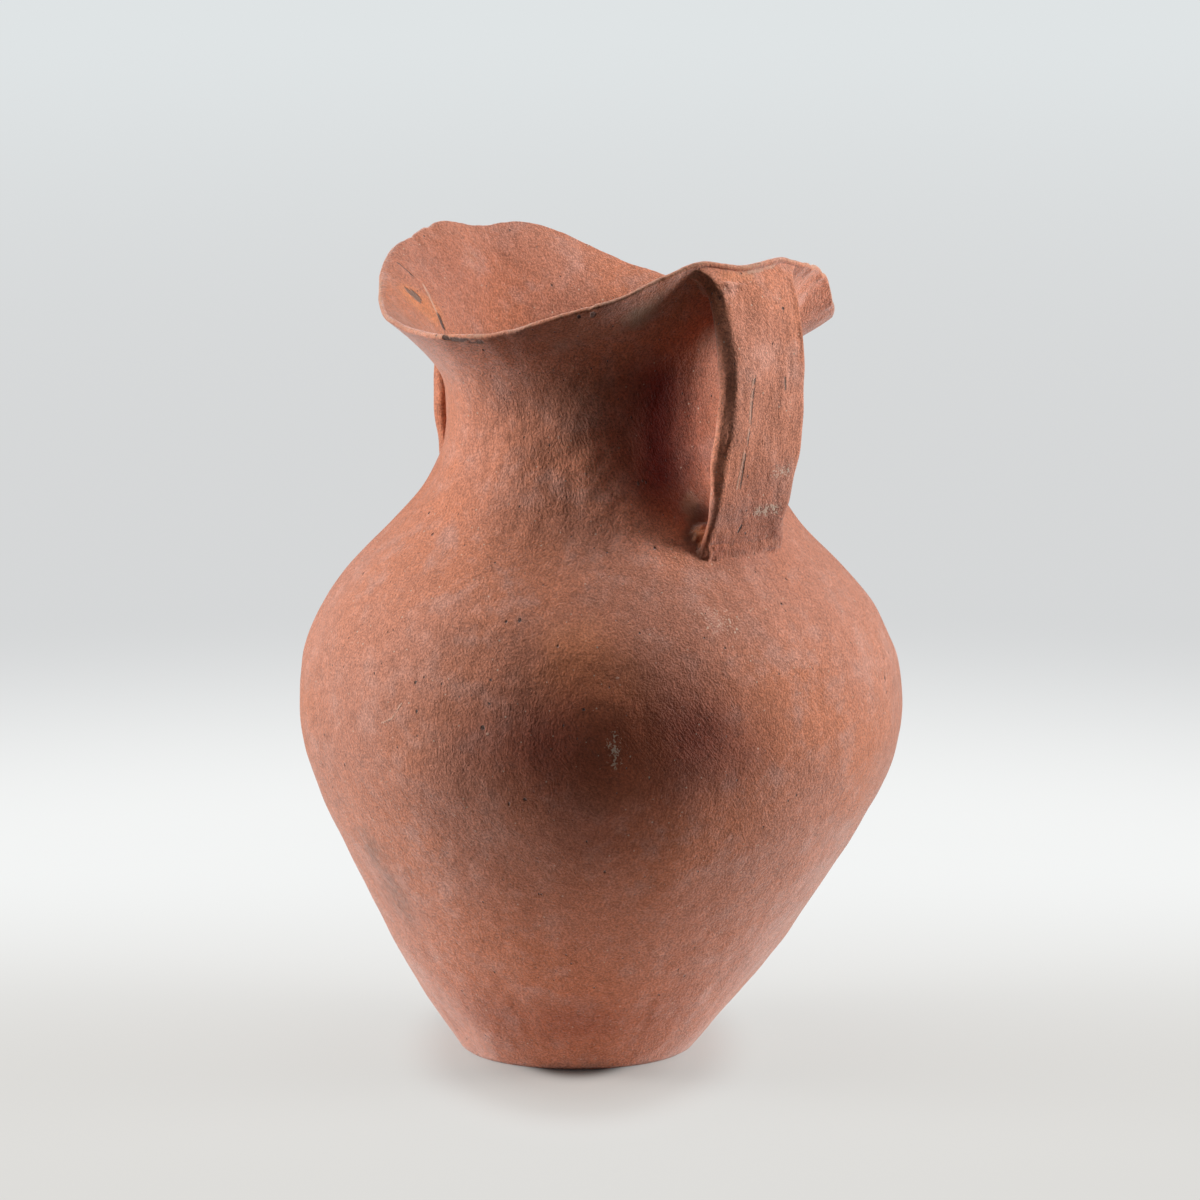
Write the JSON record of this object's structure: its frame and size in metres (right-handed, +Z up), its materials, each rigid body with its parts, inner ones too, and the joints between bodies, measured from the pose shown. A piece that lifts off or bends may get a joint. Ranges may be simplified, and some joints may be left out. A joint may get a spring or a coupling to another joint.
{
  "type": "pottery jar",
  "caption": "Hand-built red pottery jar with a round belly, short neck, flared saddle-shaped mouth and strap handles from lip to shoulder, for storing and pouring.",
  "frame": {"origin": "centre of the flat resting face under the base slab", "axes": "+Z up along the jar's height, +X from the base centre towards the right handle, +Y completing a right-handed frame"},
  "size_m": [0.221, 0.221, 0.2997],
  "materials": {
    "fired_clay": "matt, scraped and lightly burnished red earthenware",
    "luting_clay": "matt, rough, finger-pressed red earthenware"
  },
  "bodies": {
    "root": {"base_slab": "fired_clay", "lower_wall_ring_1": "fired_clay", "lower_wall_ring_2": "fired_clay", "lower_wall_ring_3": "fired_clay", "lower_wall_ring_4": "fired_clay", "shoulder_ring_1": "fired_clay", "shoulder_ring_2": "fired_clay", "shoulder_ring_3": "fired_clay", "shoulder_ring_4": "fired_clay", "mouth_ring_1": "fired_clay", "mouth_ring_2": "fired_clay", "right_handle_strap": "fired_clay", "right_handle_top_wad": "luting_clay", "right_handle_foot_wad": "luting_clay", "right_handle_foot_roll": "luting_clay", "left_handle_strap": "fired_clay", "left_handle_top_wad": "luting_clay", "left_handle_foot_wad": "luting_clay", "left_handle_foot_roll": "luting_clay"}
  },
  "joints": []
}
